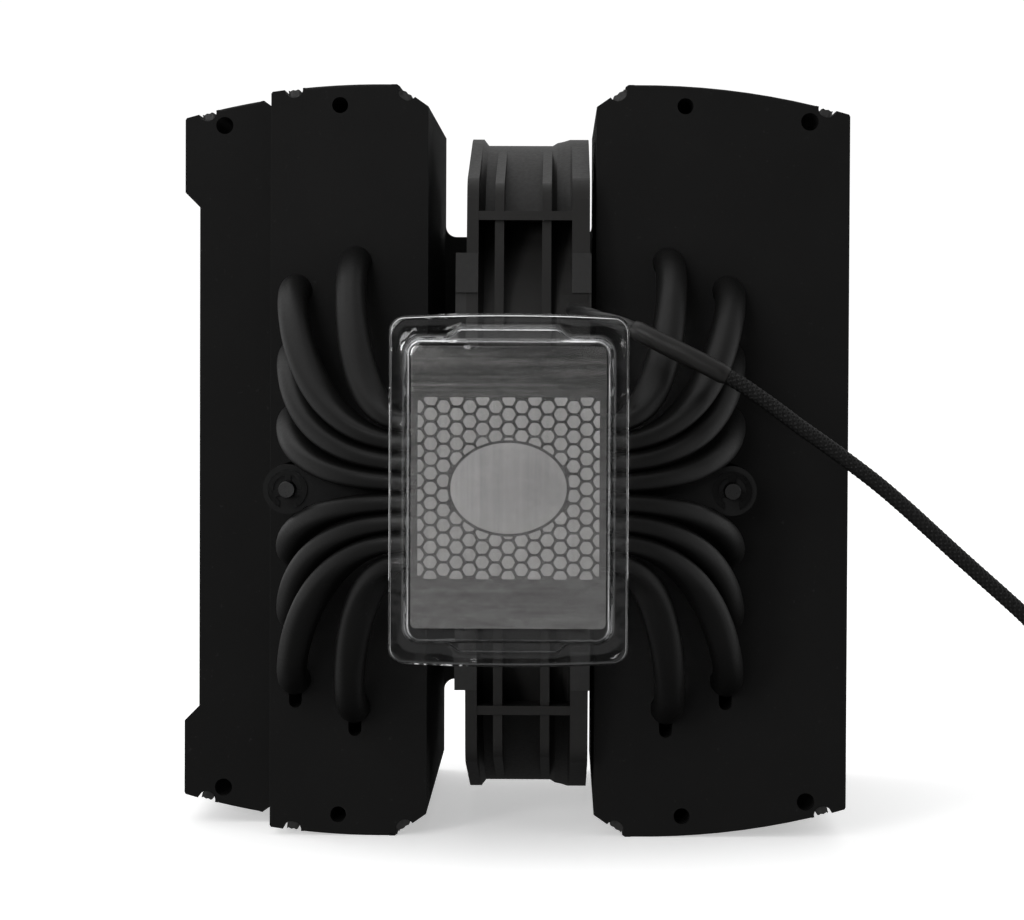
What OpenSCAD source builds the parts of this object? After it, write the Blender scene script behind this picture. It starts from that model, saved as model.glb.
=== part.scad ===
// Dual tower air cooler for a processor, lying on the side edges of its fins.
// X runs from the left stack to the right one, Y from the contact face to the
// top cover, and Z is up. Modules work in [x, depth, height] from the middle of
// the protective cover's front, and place() moves them to the part's frame.

/* [Fin stacks] */
// Length of a fin, across the air flow
fin_l = 149.8; // [146:0.2:156]
// Width of a full fin, along the air flow
fin_w = 50.3; // [48:0.1:54]
// Width of a cut fin, which leaves room for memory modules
cut_fin_w = 31.3; // [31:0.1:36]
// Thickness of a fin
fin_t = 0.45; // [0.35:0.05:0.6]
// Spacing of the fins
fin_pitch = 2.28; // [2.1:0.02:2.28]
// Number of fins in each stack
fin_count = 52; // [40:1:52]
// Number of cut fins at the start of the left stack
cut_count = 9; // [5:1:12]
// Gap between the two stacks, which holds the fan
stack_gap = 33.4; // [33:0.2:38]
// Depth of the first fin, from the protective cover's front
first_fin = 43; // [42:0.5:44]
// Diameter of the holes that let a screwdriver through the fins
access_d = 9.4; // [8:0.2:11]

/* [Heat pipes] */
// Diameter of a heat pipe
pipe_d = 6; // [5:0.1:6]
// Spacing of the flattened pipes at the base
pipe_pitch = 3.8; // [3.8:0.1:4]
// Depth of the pipes' centre line at the base
pipe_depth = 8; // [7.8:0.1:8.2]
// Height of the pipes' pattern below the middle of the fins
pipe_drop = 4.8; // [3:0.1:6]

/* [Base] */
// Width of the cold plate
plate_w = 37; // [34:0.5:37]
// Length of the cold plate
plate_l = 53.4; // [50:0.1:54]
// Side of the square of thermal paste
paste_w = 34.4; // [28:0.2:34.4]
// Distance of each mounting screw from the middle
screw_x = 42.9; // [42:0.1:44]
// Travel of a mounting screw against its spring
screw_travel = 4; // [2:0.5:5]

/* [Fan] */
// Thickness of the fan
fan_t = 24.2; // [23:0.1:25]
// Outside diameter of the fan's ring
fan_d = 136.4; // [130:0.2:138]
// Radius of the fan's corners, round its mounting holes
corner_r = 5.6; // [4.6:0.2:7]
// Distance between the fan's mounting holes
fan_hole_pitch = 105; // [104:0.5:106]
// Number of blades
blade_count = 7; // [5:1:11]

/* [Covers] */
// Overall depth, from the protective cover's front to the top cover's back
overall_d = 165.6; // [165.4:0.1:168]
// Thickness of the top cover
cover_t = 2.1; // [1.5:0.1:2.2]
// Thickness of the clear plastic sheet
sheet_t = 0.45; // [0.3:0.05:0.5]

/* [Cable] */
// Diameter of the braided fan cable
cable_d = 3; // [2.6:0.1:3.2]
// Diameter of the heat-shrink sleeve
shrink_d = 3.9; // [3.6:0.1:4.2]

/* [Hidden] */

$fn = 64;
gap = 0.04;                     // running gap round a pipe or a shaft
half_h = fin_l / 2;             // half the height of the object as it lies
stack_x = stack_gap / 2;        // inner edge of a stack
base_h = -pipe_drop;            // height of the base's centre

// A fin's outline, as u from its inner edge and h from its middle
inner_h = 70.5 / 74.9 * half_h; // half length at the inner edge
chamfer_w = 6.3;                // width of the chamfer at the inner edge
arc_start = 9.3;                // where the side edge starts to curve
arc_r = 148;                    // radius of the side edge
function edge_h(u) = u < arc_start ? half_h
    : half_h - arc_r + sqrt(arc_r ^ 2 - (u - arc_start) ^ 2);
arc_steps = 5;                  // straight steps along that curve
function side_edge(w) = concat([[0, inner_h], [chamfer_w, half_h]],
    [for (k = [0:arc_steps]) let (u = mix(arc_start, w, k / arc_steps))
        [u, edge_h(u)]]);
function outline(w) = let (top = side_edge(w))
    concat(top, [for (i = [len(top) - 1:-1:0]) [top[i][0], -top[i][1]]]);

// Places of the pipes: distance from the middle, and height from the pattern's
outer_x = 42.9;
inner_x = 31;
pipe_holes = [[inner_x, 44.4], [outer_x, 38.8], [outer_x, 26.1],
    [outer_x, 13.2], [outer_x, -13.2], [outer_x, -26.1], [outer_x, -38.8],
    [inner_x, -44.4]];
pipe_out = [12, 21, 22, 23, 23, 22, 21, 12]; // reach of each bend along X
pipe_end = 163;                 // depth of the pipes' closed ends
flat_w = 3.6;                   // width of a pipe where it is flattened
flat_d = 7.6;                   // its depth there
slot_w = 8 * pipe_pitch + 0.2;  // width of the channel that holds the pipes

module place() {
    translate([0, -overall_d / 2, half_h]) children();
}

// Extrudes a shape drawn as [x, height] away from the viewer, from depth d
module slab(d, t) {
    translate([0, d, 0]) rotate([90, 0, 0]) mirror([0, 0, 1])
        linear_extrude(t) children();
}

// A cylinder along the depth
module rod(x, h, d, r, l) {
    translate([x, d, h]) rotate([-90, 0, 0]) cylinder(r = r, h = l);
}

// A rectangle with round corners, made of exact arcs
module rounded(w, l, r) {
    square([w - 2 * r, l], center = true);
    square([w, l - 2 * r], center = true);
    for (x = [-1, 1], y = [-1, 1])
        translate([x * (w / 2 - r), y * (l / 2 - r)]) circle(r);
}

// ---------------------------------------------------------------- fins

notch_w = 2.6;                  // solder notch beside each pipe hole
notch_l = 5.8;                  // reach of the notch from the hole's centre
small_hole = [17.6, 70.7, 1.6]; // u, h and radius of the alignment holes
large_hole = [42.3, 67.7, 1.75];
recess_d = 3;                   // recess in the left stack's outer edge
recess_h = 51;                  // its half height
clip_u = 18;                    // fan clip notch, from the outer edge

module pipe_cuts() {
    for (p = pipe_holes) translate([p[0] - stack_x, base_h + p[1]]) {
        circle(pipe_d / 2 + gap);
        translate([-notch_w / 2, -notch_l + notch_w / 2])
            square([notch_w, notch_l - notch_w / 2]);
        translate([0, -notch_l + notch_w / 2]) circle(notch_w / 2);
    }
}

module fin_shape(w, recessed) {
    difference() {
        polygon(outline(w));
        pipe_cuts();
        translate([screw_x - stack_x, base_h]) circle(access_d / 2);
        for (s = [-1, 1]) {
            translate([small_hole[0], s * small_hole[1]]) circle(small_hole[2]);
            if (w > large_hole[0] + 4)
                translate([large_hole[0], s * large_hole[1]])
                    circle(large_hole[2]);
        }
        if (recessed) {
            polygon([[w + 1, recess_h + 3], [w - recess_d, recess_h],
                [w - recess_d, -recess_h], [w + 1, -recess_h - 3]]);
            for (s = [-1, 1]) polygon([[w - clip_u - 2, s * (half_h + 1)],
                [w - clip_u, s * (edge_h(w - clip_u) - 2)],
                [w - clip_u + 2, s * (half_h + 1)]]);
        }
    }
}

// The folded side flanges, which reach almost to the next fin
module flange_shape(w, recessed) {
    for (m = [0, 1]) mirror([0, m]) difference() {
        intersection() {
            polygon(outline(w));
            translate([chamfer_w + 0.2, 0]) square([w - chamfer_w - 8, half_h]);
        }
        translate([0, -fin_t]) polygon(outline(w));
        if (recessed)
            translate([w - clip_u - 3, 0]) square([6, half_h]);
    }
}

module fin(w, recessed, d) {
    slab(d, fin_t) fin_shape(w, recessed);
    slab(d, fin_pitch - 0.06) flange_shape(w, recessed);
}

module stack(w, first, last, recessed = false) {
    color([0.08, 0.08, 0.085]) for (i = [first:last])
        translate([stack_x, 0, 0]) fin(w, recessed, first_fin + i * fin_pitch);
}

module left_cut_fins() { mirror([1, 0, 0]) stack(cut_fin_w, 0, cut_count - 1); }
module left_fins() {
    mirror([1, 0, 0]) stack(fin_w, cut_count, fin_count - 1, true);
}
module right_fins() { stack(fin_w, 0, fin_count - 1); }

// ---------------------------------------------------------------- pipes

sides = 12;                     // sides of a pipe's section
steps = 10;                     // rings along a bend
bend_x = plate_w / 2 + 1;       // where the bends start
rise = 15;                      // reach of a bend along its last straight
bulge = 1.2;                    // how far a bend swings out past its hole
rounding = 1.45;                // how soon a flattened pipe turns round

function unit(v) = v / norm(v);
function bend(i) = let (p = pipe_holes[i], b = (3.5 - i) * pipe_pitch)
    [[bend_x, pipe_depth, base_h + b],
     [bend_x + pipe_out[i], pipe_depth, base_h + b],
     [p[0] + bulge, first_fin - rise, base_h + p[1]],
     [p[0], first_fin - 1, base_h + p[1]]];
function on_curve(p, t) = (1 - t) ^ 3 * p[0] + 3 * (1 - t) ^ 2 * t * p[1]
    + 3 * (1 - t) * t ^ 2 * p[2] + t ^ 3 * p[3];
function along(p, t) = unit((1 - t) ^ 2 * (p[1] - p[0])
    + 2 * (1 - t) * t * (p[2] - p[1]) + t ^ 2 * (p[3] - p[2]));
function mirrored(v) = [-v[0], v[1], v[2]];

// A ring of points round c, square to direction v, wd deep and wh high
function ring(c, v, wd, wh, n) = let (up = unit([0, 0, 1] - v[2] * v),
    across = cross(v, up))
    [for (k = [0:n - 1]) c + wd * cos(360 * k / n) * across
        + wh * sin(360 * k / n) * up];
function mix(a, b, t) = a + (b - a) * min(1, max(0, t));
function half_pipe(i) = let (p = bend(i))
    [for (k = [0:steps]) let (t = k / steps)
        [on_curve(p, t), along(p, t), mix(flat_d, pipe_d, rounding * t) / 2,
         mix(flat_w, pipe_d, rounding * t) / 2]];

module loft(rings) {
    n = len(rings[0]);
    m = len(rings);
    polyhedron([for (r = rings) for (q = r) q],
        concat([[for (k = [0:n - 1]) n - 1 - k]],
            [for (j = [0:m - 2]) for (k = [0:n - 1]) let (a = j * n + k,
                b = j * n + (k + 1) % n)
                each [[a, b, b + n], [a, b + n, a + n]]],
            [[for (k = [0:n - 1]) (m - 1) * n + k]]));
}

module heat_pipe(i) {
    half = half_pipe(i);
    end = [pipe_holes[i][0], pipe_end, base_h + pipe_holes[i][1]];
    back = [0, 1, 0];
    color([0.11, 0.11, 0.115]) loft(concat(
        [ring(mirrored(end), -back, pipe_d / 2, pipe_d / 2, sides)],
        [for (k = [steps:-1:0]) ring(mirrored(half[k][0]),
            -mirrored(half[k][1]), half[k][2], half[k][3], sides)],
        [for (k = [0:steps]) ring(half[k][0], half[k][1], half[k][2],
            half[k][3], sides)],
        [ring(end, back, pipe_d / 2, pipe_d / 2, sides)]));
}

// ---------------------------------------------------------------- base

plate_front = 2.5;              // depth of the contact face
plate_rise = 1.1;               // the plate sits above the pipes' middle
paste_t = 0.1;
paste_rise = 0.95;              // so does the paste
block_h = 40;                   // height of the block behind the pipes
bar_front = 19;                 // depth of the crossbar's front
bar_t = 3;
bar_w = 6.6;
bar_end_r = 4.8;
channel_front = pipe_depth - flat_d / 2;

module thermal_paste() {
    color([0.6, 0.6, 0.6]) translate([0, 0, base_h + paste_rise])
        slab(plate_front - paste_t, paste_t) square(paste_w, center = true);
}

module base_plate() {
    color([0.35, 0.35, 0.36]) translate([0, 0, base_h]) difference() {
        translate([0, 0, plate_rise])
            slab(plate_front, pipe_depth - plate_front)
                rounded(plate_w, plate_l, 1);
        translate([-plate_w, channel_front, -slot_w / 2])
            cube([2 * plate_w, pipe_depth, slot_w]);
    }
}

module base_block() {
    color([0.3, 0.3, 0.31]) translate([0, 0, base_h]) difference() {
        slab(pipe_depth, bar_front - pipe_depth) rounded(plate_w, block_h, 1);
        translate([-plate_w, 0, -slot_w / 2])
            cube([2 * plate_w, pipe_depth + flat_d / 2, slot_w]);
        for (s = [-1, 1]) rod(s * bar_screw_x, 0, bar_front - 5, 1.3, 6);
    }
}

bar_screw_x = 10;               // screws that hold the crossbar
module crossbar() {
    color([0.12, 0.12, 0.125]) translate([0, 0, base_h]) difference() {
        slab(bar_front, bar_t) {
            square([2 * screw_x, bar_w], center = true);
            square([30, 12], center = true);
            for (s = [-1, 1]) translate([s * screw_x, 0]) circle(bar_end_r);
        }
        for (s = [-1, 1]) {
            rod(s * screw_x, 0, bar_front - 1, shank_r + 0.2, bar_t + 2);
            rod(s * bar_screw_x, 0, bar_front - 1, 1.6, bar_t + 2);
            rod(s * bar_screw_x, 0, bar_front + 1.2, 2.9, bar_t);
        }
    }
}

module crossbar_screws() {
    color([0.2, 0.2, 0.2]) translate([0, 0, base_h]) for (s = [-1, 1])
        difference() {
            union() {
                rod(s * bar_screw_x, 0, bar_front - 4.5, 1.25, 6);
                rod(s * bar_screw_x, 0, bar_front + 1.2, 2.7, 1.7);
            }
            translate([s * bar_screw_x, bar_front + 2.4, 0])
                cross_recess(3, 0.7, 1);
        }
}

// A cross-shaped driver recess, cut from depth 0 to depth l
module cross_recess(w, t, l) {
    for (a = [0, 90]) rotate([0, a, 0]) translate([-w / 2, 0, -t / 2])
        cube([w, l, t]);
}

// ---------------------------------------------------------------- screws

shank_r = 1.5;                  // mounting screw's thread
tip = 15;                       // depth of its tip
clip_front = bar_front - 0.7;   // depth of the retaining clip
clip_t = 0.6;
washer_front = bar_front + bar_t + screw_travel + 4.6;
washer_t = 0.8;
head_front = washer_front + washer_t + 0.1;
head_t = 3.4;
groove_r = 1.15;                // bottom of the clip's groove

module mounting_screw(s) {
    color([0.45, 0.45, 0.46]) translate([s * screw_x, 0, base_h])
        difference() {
            union() {
                rod(0, 0, tip, shank_r, head_front - tip);
                rod(0, 0, head_front, 3.9, head_t);
            }
            difference() {
                rod(0, 0, clip_front - 0.05, shank_r + 1, clip_t + 0.1);
                rod(0, 0, clip_front - 1, groove_r, clip_t + 2);
            }
            translate([0, head_front + head_t - 2, 0])
                cross_recess(4.2, 1, 3);
        }
}

// A three-lobed retaining clip that snaps into the groove
module e_clip(s) {
    lobe = 110;                 // spacing of the lobes
    color([0.4, 0.4, 0.4]) translate([s * screw_x, 0, base_h])
        slab(clip_front, clip_t) difference() {
            union() {
                difference() {
                    circle(3.8);
                    circle(2.7);
                }
                for (a = [-lobe, 0, lobe]) rotate(a + 90)
                    translate([groove_r + 0.02, -0.65]) square([2, 1.3]);
            }
            rotate(-90) translate([0, -1.5]) square([5, 3]);
        }
}

module screw_spring(s) {
    back = bar_front + bar_t;
    color([0.5, 0.5, 0.5]) translate([s * screw_x, 0, base_h]) difference() {
        rod(0, 0, back + 0.05, 3.6, washer_front - back - 0.1);
        rod(0, 0, back - 1, 2.6, washer_front - back + 2);
    }
}

module washer(s) {
    color([0.5, 0.5, 0.5]) translate([s * screw_x, 0, base_h]) difference() {
        rod(0, 0, washer_front, 4, washer_t);
        rod(0, 0, washer_front - 1, shank_r + gap, washer_t + 2);
    }
}

// ---------------------------------------------------------------- covers

cover_rise = 0.5;               // clear cover's height above the pipes' middle
well = [plate_w + 2.6, plate_l + 4.4]; // raised tray over the cold plate
rim = [45.6, 67];               // outer edge of the clear cover
rim_front = 3.3;                // depth of its rim, in front of the pipes
skirt = [40, 5.2];              // length and depth of the end skirts

module protective_cover() {
    color([0.9, 0.95, 1, 0.3]) translate([0, 0, base_h + cover_rise]) {
        difference() {
            union() {
                slab(0, rim_front + sheet_t) rounded(well[0], well[1], 3);
                slab(rim_front, sheet_t) rounded(rim[0], rim[1], 2.5);
            }
            slab(sheet_t, rim_front + 1) rounded(well[0] - 2 * sheet_t,
                well[1] - 2 * sheet_t, 3 - sheet_t);
        }
        for (s = [-1, 1]) translate([-skirt[0] / 2, rim_front,
            s * (rim[1] - sheet_t) / 2 - sheet_t / 2])
            cube([skirt[0], skirt[1], sheet_t]);
    }
}

bridge = [-53.8, 47.8];         // lower and upper edge of the part over the fan
bridge_r = 2.5;                 // fillet where the bridge meets the plates
peg_l = 4;                      // pegs that locate the cover in the fins

module top_cover() {
    front = overall_d - cover_t;
    color([0.07, 0.07, 0.075]) {
        slab(front, cover_t) {
            for (s = [0, 1]) mirror([s, 0]) translate([stack_x, 0])
                polygon(outline(fin_w));
            difference() {
                translate([-stack_x - 1, bridge[0] - bridge_r]) square([
                    2 * stack_x + 2, bridge[1] - bridge[0] + 2 * bridge_r]);
                for (h = [bridge[0] - bridge_r, bridge[1] + bridge_r]) {
                    for (x = [-1, 1])
                        translate([x * (stack_x - bridge_r), h])
                            circle(bridge_r);
                    translate([0, h]) square([2 * (stack_x - bridge_r),
                        2 * bridge_r], center = true);
                }
            }
        }
        for (x = [-1, 1], y = [-1, 1])
            rod(x * (stack_x + small_hole[0]), y * small_hole[1],
                front - peg_l, small_hole[2] - 0.35, peg_l + 0.5);
    }
}

// ---------------------------------------------------------------- fan

fan_x = 3.3;                    // fan's centre, a little right of the middle
fan_depth = 93;
fan_h = -1.75;
ring_r = fan_d / 2;
wall_r = ring_r - 1.3;          // outside of the ring between its ribs
bore_r = ring_r - 3.7;          // inside of the ring
face = fan_t / 2;
rib_t = 1.8;
cross_ribs = [-50.4, 47.1];     // ribs between the flanges
left_t = 2.3;                   // thickness of the left flange
right_t = 3.5;                  // and of the right one
hub_r = 21;
base_in = face - 2.5;           // inner face of the motor's base
tube_r = [3, 4.2];              // bearing tube
shaft_r = 1.5;                  // rotor's shaft

// Moves children drawn round Z onto the fan's axis, which runs along X
module on_axis() {
    translate([fan_x, fan_depth, fan_h]) rotate([0, 90, 0]) children();
}
module tube(a, b, r_in, r_out) {
    translate([0, 0, a]) difference() {
        cylinder(r = r_out, h = b - a);
        translate([0, 0, -1]) cylinder(r = r_in, h = b - a + 2);
    }
}
module plate(a, b) { translate([0, 0, a]) linear_extrude(b - a) children(); }

// A circle with four corners, each between tangents to a mounting hole's rim
module lobed(r, rim_r) {
    far = fan_hole_pitch / sqrt(2);
    a = acos((r - rim_r) / far);
    circle(r);
    for (q = [45:90:315]) rotate(q) {
        translate([far, 0]) circle(rim_r);
        polygon([[0, 0], [r * cos(a), r * sin(a)],
            [far + rim_r * cos(a), rim_r * sin(a)],
            [far + rim_r * cos(a), -rim_r * sin(a)],
            [r * cos(a), -r * sin(a)]]);
    }
}

module fan_frame() {
    hole = fan_hole_pitch / 2;
    color([0.17, 0.165, 0.17]) on_axis() {
        difference() {
            union() {
                plate(-face, face) circle(wall_r);
                plate(-face, -face + left_t) lobed(ring_r, corner_r);
                plate(face - right_t, face) lobed(ring_r, corner_r);
                for (a = [-5.7, 3.6])
                    plate(a - rib_t / 2, a + rib_t / 2)
                        lobed(wall_r, corner_r - 1);
                rotate_extrude() polygon([[bore_r, -face], [ring_r, -face],
                    [ring_r, -face + left_t], [wall_r, -face + left_t + 1],
                    [wall_r, 4.6], [wall_r + 0.6, 5.6], [ring_r - 0.4, 7],
                    [ring_r, 8.2], [ring_r, face], [bore_r, face]]);
                for (c = cross_ribs) plate(-face + 1, face - 1)
                    intersection() {
                        translate([c - rib_t / 2, -ring_r])
                            square([rib_t, 2 * ring_r]);
                        lobed(wall_r, corner_r);
                    }
                translate([-lead_start[2] - 3 + fan_h, lead_start[1]
                    - fan_depth, lead_start[0] - fan_x - 2.5])
                    cube([6, 8, 5.5]);
            }
            plate(-face - 1, face + 1) circle(bore_r);
            for (x = [-1, 1], y = [-1, 1]) translate([x * hole, y * hole])
                plate(-face - 1, face + 1) circle(2.15);
        }
        plate(base_in, face) circle(hub_r);
        for (q = [45:90:315]) rotate(q) translate([hub_r - 1, -2, face - 3])
            cube([bore_r - hub_r + 2, 4, 3]);
        tube(-8, base_in + 0.5, tube_r[0], tube_r[1]);
    }
}

pad_in = 31;                    // inner end of the rubber pads
pad_l = 12;
pad_lip = 0.5;                  // the part that wraps round a flange's edge
module pad_end(start) {
    translate([start, 0]) square([pad_in + pad_l - start, ring_r + pad_lip]);
}
module fan_pads() {
    color([0.2, 0.195, 0.2]) on_axis() for (x = [0, 1], y = [0, 1])
        for (z = [[-face - 2.1, -face, -face + left_t],
                [face + 0.3, face, face - right_t]])
            mirror([x, 0]) mirror([0, y]) {
                plate(min(z[0], z[1]), max(z[0], z[1])) difference() {
                    intersection() {
                        lobed(ring_r, corner_r);
                        pad_end(pad_in);
                    }
                    circle(bore_r + 1);
                }
                plate(min(z[0], z[2]), max(z[0], z[2])) difference() {
                    intersection() {
                        lobed(ring_r + pad_lip, corner_r + pad_lip);
                        pad_end(pad_in + 4.2);
                    }
                    lobed(ring_r, corner_r);
                }
            }
}

blade_r = bore_r - 1.2;
cup_back = -face + 0.5;         // closed face of the rotor's cup
cup_open = base_in - 1.8;
module fan_rotor() {
    color([0.15, 0.15, 0.155]) on_axis() {
        difference() {
            plate(cup_back, cup_open) circle(hub_r);
            plate(cup_back + 1.5, cup_open + 1) circle(hub_r - 1.8);
        }
        tube(cup_back + 1.4, cup_back + 3.4, shaft_r, 3.4);
        for (k = [0:blade_count - 1]) rotate(360 * k / blade_count)
            translate([0, 0, cup_back + 0.6])
                linear_extrude(19, twist = 38, slices = 7, segments = 12)
                    translate([hub_r - 0.9, -0.9])
                        square([blade_r - hub_r + 0.9, 1.8]);
    }
}

module rotor_shaft() {
    color([0.7, 0.7, 0.72]) on_axis()
        plate(cup_back + 1.5, base_in - 0.8) circle(shaft_r);
}
module rotor_yoke() {
    color([0.4, 0.4, 0.42]) on_axis()
        tube(cup_back + 2.5, cup_open - 0.8, hub_r - 3, hub_r - 1.8);
}
module rotor_magnet() {
    color([0.25, 0.25, 0.25]) on_axis()
        tube(cup_back + 3, cup_open - 1.2, hub_r - 5, hub_r - 3);
}
module fan_bearing() {
    color([0.6, 0.5, 0.3]) on_axis()
        tube(-7.9, base_in - 2, shaft_r + gap, tube_r[0]);
}
module shaft_clip() {
    color([0.6, 0.6, 0.6]) on_axis()
        tube(base_in - 1.9, base_in - 1.5, shaft_r, 2.6);
}

pole_r = hub_r - 5.6;
arm_w = 4;
module stator_core() {
    color([0.45, 0.45, 0.47]) on_axis() plate(-4, 4) difference() {
        union() {
            circle(6.4);
            for (q = [0:90:270]) rotate(q) {
                translate([0, -arm_w / 2]) square([pole_r - 1, arm_w]);
                intersection() {
                    difference() {
                        circle(pole_r);
                        circle(pole_r - 2);
                    }
                    polygon([[0, 0], [30, -22], [30, 22]]);
                }
            }
        }
        circle(tube_r[1]);
    }
}
module stator_coils() {
    color([0.7, 0.35, 0.15]) on_axis() for (q = [0:90:270]) rotate(q)
        translate([7, 0, 0]) difference() {
            translate([0, -3.6, -5.4]) cube([5.7, 7.2, 10.8]);
            translate([-1, -arm_w / 2, -4]) cube([8, arm_w, 8]);
        }
}
module fan_circuit_board() {
    color([0.1, 0.3, 0.15]) on_axis()
        tube(base_in - 1.3, base_in, tube_r[1], hub_r - 2.5);
}
module hub_label() {
    color([0.3, 0.3, 0.3]) on_axis() plate(face, face + 0.12) circle(17);
}

// ---------------------------------------------------------------- cable

cord_sides = 8;
lead_start = [12, 30.5, 30];
lead_route = [lead_start, [12.2, 28, 30], [13, 25, 29.8], [14.8, 21, 29.3],
    [17.4, 17, 28.5], [20.6, 14, 27.6], [23.6, 12, 26.5]];
shrink_route = [[23.6, 12, 26.5], [27, 10.8, 24.7], [32, 9.8, 22.2],
    [37, 9.2, 19.8], [41.5, 9, 17.4]];
cable_route = [[41.5, 9, 17.4], [45, 8.7, 15.3], [50, 8.3, 11.8],
    [55.4, 8, 7.8], [60, 8, 4.6], [65, 8, 1], [70, 8, -2.8],
    [75, 8, -7], [80, 8, -11.5], [84.5, 8, -15.6], [89, 8, -19.6],
    [94, 8, -24], [98.5, 8, -28.1], [103, 8.3, -32.8], [107, 8.9, -38],
    [110.5, 9.7, -44], [113.4, 10.6, -49.6], [116.2, 11.4, -55],
    [119.4, 12.2, -59.8], [123.2, 13.2, -63.5], [127.4, 14.8, -65.5],
    [131.4, 16.4, -66.1], [135, 18, -66.1]];
coil_centre = [126, 32.4];
coil_r = 17;
coil_turns = 2.25;              // turns that lie on each other
tail_route = [[140.4, 41.4, -73.3], [138.6, 44.8, -73.3],
    [137.8, 48.5, -73.3], [138.8, 52.3, -73], [141, 55.5, -72.8]];
plug_turn = -34;                // heading of the plug, from the depth axis
plug = [10.4, 13, 5.4];

function heading(p, i) = unit(p[min(i + 1, len(p) - 1)] - p[max(i - 1, 0)]);
module cord(route, d) {
    loft([for (i = [0:len(route) - 1])
        ring(route[i], heading(route, i), d / 2, d / 2, cord_sides)]);
}

module fan_lead() { color([0.1, 0.1, 0.1]) cord(lead_route, cable_d - 0.3); }
module heat_shrink() { color([0.07, 0.07, 0.07]) cord(shrink_route, shrink_d); }
module fan_cable() { color([0.1, 0.1, 0.1]) cord(cable_route, cable_d); }
module cable_tail() { color([0.1, 0.1, 0.1]) cord(tail_route, cable_d); }

module cable_coil() {
    color([0.1, 0.1, 0.1])
        translate([coil_centre[0], coil_centre[1], -half_h])
            rotate_extrude() translate([coil_r - cable_d / 2 - 0.1, 0])
                square([cable_d + 0.2, (coil_turns + 1) * (cable_d + 0.2)]);
}

module fan_connector() {
    color([0.06, 0.06, 0.06]) translate([tail_route[4][0], tail_route[4][1],
        -half_h]) rotate(plug_turn) difference() {
            translate([-plug[0] / 2, 0, 0]) cube(plug);
            for (k = [-1.5:1.5]) translate([2.54 * k - 0.55, 6, 2.1])
                cube([1.1, 8, 1.1]);
        }
}

place() protective_cover();
place() thermal_paste();
place() base_plate();
place() base_block();
place() heat_pipe(0);  // heat_pipe_1
place() heat_pipe(1);  // heat_pipe_2
place() heat_pipe(2);  // heat_pipe_3
place() heat_pipe(3);  // heat_pipe_4
place() heat_pipe(4);  // heat_pipe_5
place() heat_pipe(5);  // heat_pipe_6
place() heat_pipe(6);  // heat_pipe_7
place() heat_pipe(7);  // heat_pipe_8
place() left_cut_fins();
place() left_fins();
place() right_fins();
place() top_cover();
place() crossbar();
place() crossbar_screws();
place() mounting_screw(-1);  // left_mounting_screw
place() mounting_screw(1);  // right_mounting_screw
place() screw_spring(-1);  // left_spring
place() screw_spring(1);  // right_spring
place() washer(-1);  // left_washer
place() washer(1);  // right_washer
place() e_clip(-1);  // left_e_clip
place() e_clip(1);  // right_e_clip
place() fan_frame();
place() fan_pads();
place() fan_rotor();
place() rotor_shaft();
place() rotor_yoke();
place() rotor_magnet();
place() fan_bearing();
place() shaft_clip();
place() stator_core();
place() stator_coils();
place() fan_circuit_board();
place() hub_label();
place() fan_lead();
place() heat_shrink();
place() fan_cable();
place() cable_coil();
place() cable_tail();
place() fan_connector();
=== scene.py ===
"""Looks of a tower air cooler for a processor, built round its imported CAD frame.

Pieces are drawn in the part's own millimetres: x to the right, d into the
picture from the front of the clear cover, and h up from the fins' middle.
at() turns such a point into the frame's metres.
"""

import math
import random

import bpy
from mathutils import Matrix, Vector
from mathutils.geometry import tessellate_polygon


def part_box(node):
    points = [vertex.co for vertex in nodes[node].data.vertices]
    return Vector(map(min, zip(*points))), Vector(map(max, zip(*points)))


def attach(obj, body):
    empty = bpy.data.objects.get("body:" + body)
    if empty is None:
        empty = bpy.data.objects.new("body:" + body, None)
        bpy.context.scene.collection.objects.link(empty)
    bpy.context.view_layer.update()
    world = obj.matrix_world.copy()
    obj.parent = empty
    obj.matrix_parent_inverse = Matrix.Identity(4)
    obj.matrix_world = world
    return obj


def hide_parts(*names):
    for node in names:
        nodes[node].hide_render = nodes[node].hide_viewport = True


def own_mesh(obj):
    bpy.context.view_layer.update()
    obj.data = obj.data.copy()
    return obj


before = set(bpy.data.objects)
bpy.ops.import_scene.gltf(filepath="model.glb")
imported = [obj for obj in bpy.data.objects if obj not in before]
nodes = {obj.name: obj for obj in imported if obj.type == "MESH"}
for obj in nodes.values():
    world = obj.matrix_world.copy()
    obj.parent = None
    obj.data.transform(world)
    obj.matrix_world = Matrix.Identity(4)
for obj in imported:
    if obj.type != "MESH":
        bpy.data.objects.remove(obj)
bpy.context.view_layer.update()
scene = bpy.context.scene

MM = 0.001
FRONT_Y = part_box("protective_cover")[0].y
MIDDLE_Z = sum(corner.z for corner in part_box("right_fins")) / 2

# Sizes that the CAD parts share, in millimetres
BASE_H = -4.8  # height of the base's centre
STACK_X = 16.7  # inner edge of a fin stack
HALF_H = 74.9  # half the length of a fin
FIRST_FIN = 43  # depth of the first fin
FIN_PITCH = 2.28
FIN_T = 0.45
SCREW_X = 42.9  # from the middle to a mounting screw


def at(x, d, h):
    """The point [x, d, h] in the frame's metres."""
    return Vector((x * MM, FRONT_Y + d * MM, MIDDLE_Z + h * MM))


# ------------------------------------------------------------------ materials


def node(tree, kind, **values):
    """Adds a shader node; a name with a capital sets that input's value."""
    made = tree.nodes.new(kind)
    for key, value in values.items():
        if key[0].isupper():
            made.inputs[key.replace("_", " ")].default_value = value
        else:
            setattr(made, key, value)
    return made


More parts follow.
